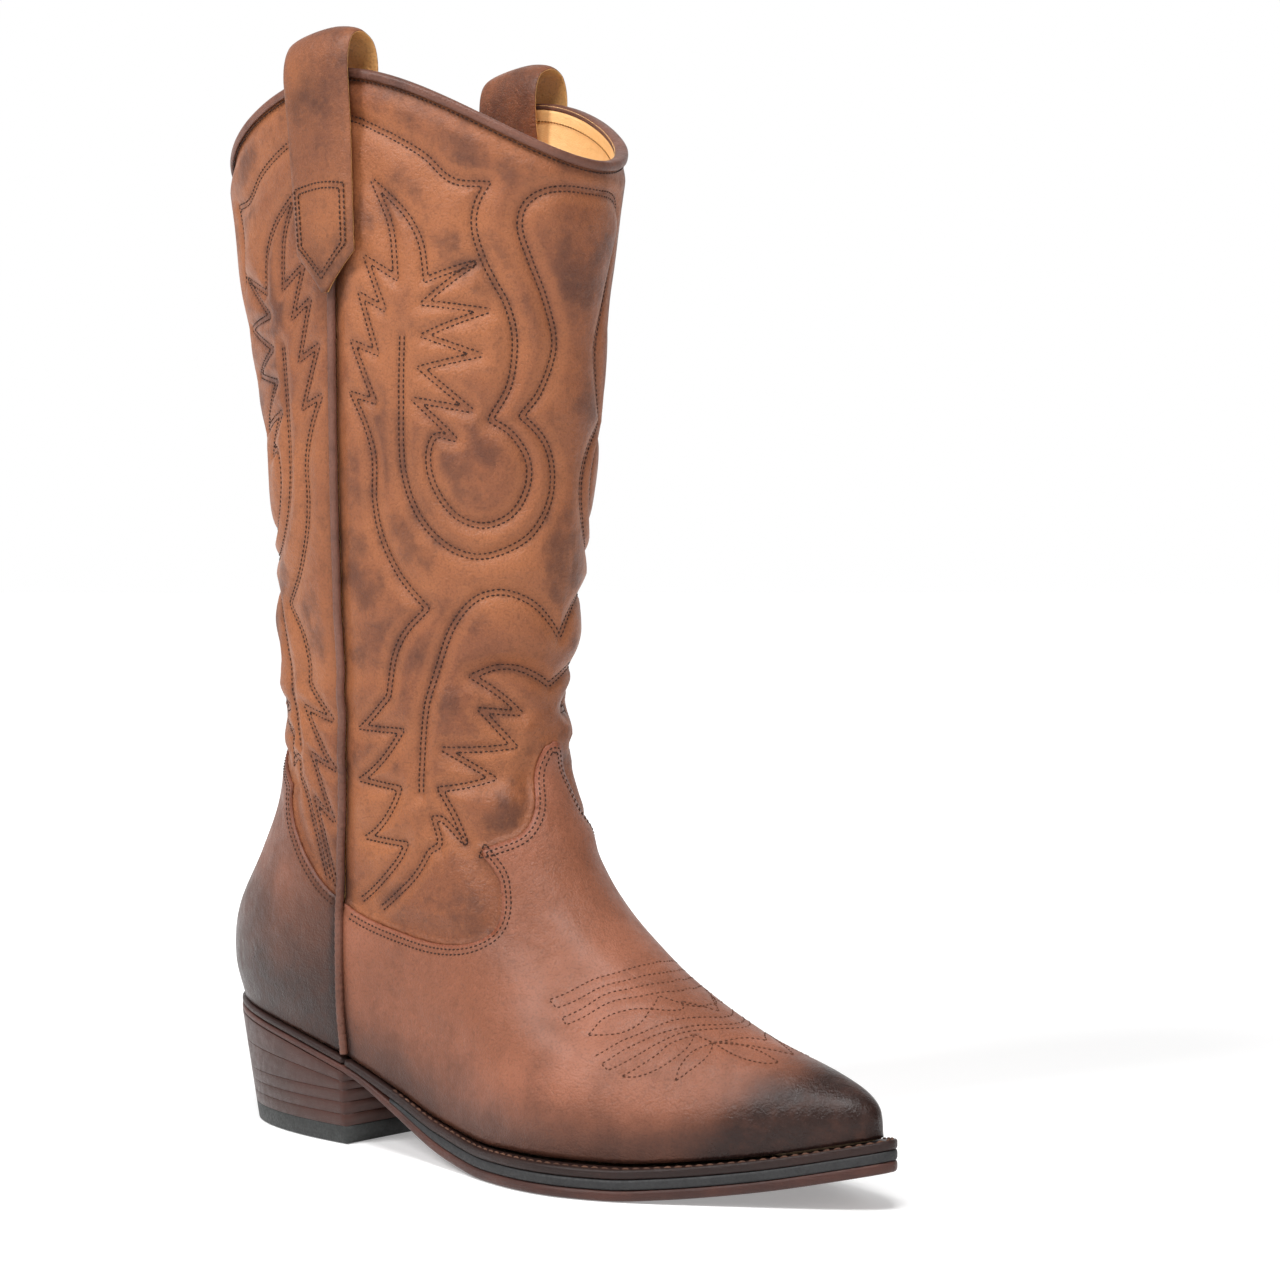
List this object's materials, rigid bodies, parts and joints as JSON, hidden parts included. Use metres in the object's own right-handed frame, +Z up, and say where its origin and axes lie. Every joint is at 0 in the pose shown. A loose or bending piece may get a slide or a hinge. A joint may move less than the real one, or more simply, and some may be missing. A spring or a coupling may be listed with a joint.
{
  "type": "cowboy boot",
  "caption": "Right pull-on cowboy boot: tall stitched leather shaft with a dipped top and pull straps, pointed toe, welted sole and slanted stacked heel.",
  "frame": {"origin": "on the floor, under the middle of the boot's bounding box", "axes": "+X towards the toe, +Y towards the inner (medial) side of this right foot, +Z up towards the top of the shaft"},
  "size_m": [0.2924, 0.113, 0.3859],
  "materials": {
    "brown_leather": "burnished, softly glossy",
    "dark_edge": "dyed and waxed",
    "tan_lining": "matt, natural",
    "stiffener_board": "pressed fibre",
    "steel": "plain",
    "thread": "waxed thread",
    "welt_leather": "dyed edge",
    "foam": "soft foam",
    "cork": "granular cork",
    "midsole_rubber": "matt black",
    "outsole_leather": "polished edge",
    "heel_leather": "polished, stacked",
    "lift_rubber": "matt black"
  },
  "bodies": {
    "root": {"shaft_front": "brown_leather", "shaft_back": "brown_leather", "vamp": "brown_leather", "heel_foxing": "brown_leather", "pull_strap_lateral": "brown_leather", "pull_strap_medial": "brown_leather", "side_piping_lateral": "dark_edge", "side_piping_medial": "dark_edge", "topline_binding": "dark_edge", "shaft_lining_front": "tan_lining", "shaft_lining_back": "tan_lining", "vamp_lining": "tan_lining", "heel_lining": "tan_lining", "toe_puff": "stiffener_board", "heel_stiffener": "stiffener_board", "vamp_thread": "thread", "foxing_thread": "thread", "topline_thread_front": "thread", "topline_thread_back": "thread", "welt_thread": "thread", "welt": "welt_leather", "heel_rand": "welt_leather", "insole_board": "stiffener_board", "insole_padding": "foam", "sock_liner": "tan_lining", "cork_filler": "cork", "heel_seat_filler": "stiffener_board", "midsole": "midsole_rubber", "outsole": "outsole_leather", "steel_shank": "steel", "heel_lift_1": "heel_leather", "heel_lift_2": "heel_leather", "heel_lift_3": "heel_leather", "heel_lift_4": "heel_leather", "heel_lift_5": "heel_leather", "top_lift": "lift_rubber", "heel_nail_1": "steel", "heel_nail_2": "steel", "heel_nail_3": "steel", "heel_nail_4": "steel", "heel_nail_5": "steel"}
  },
  "joints": []
}
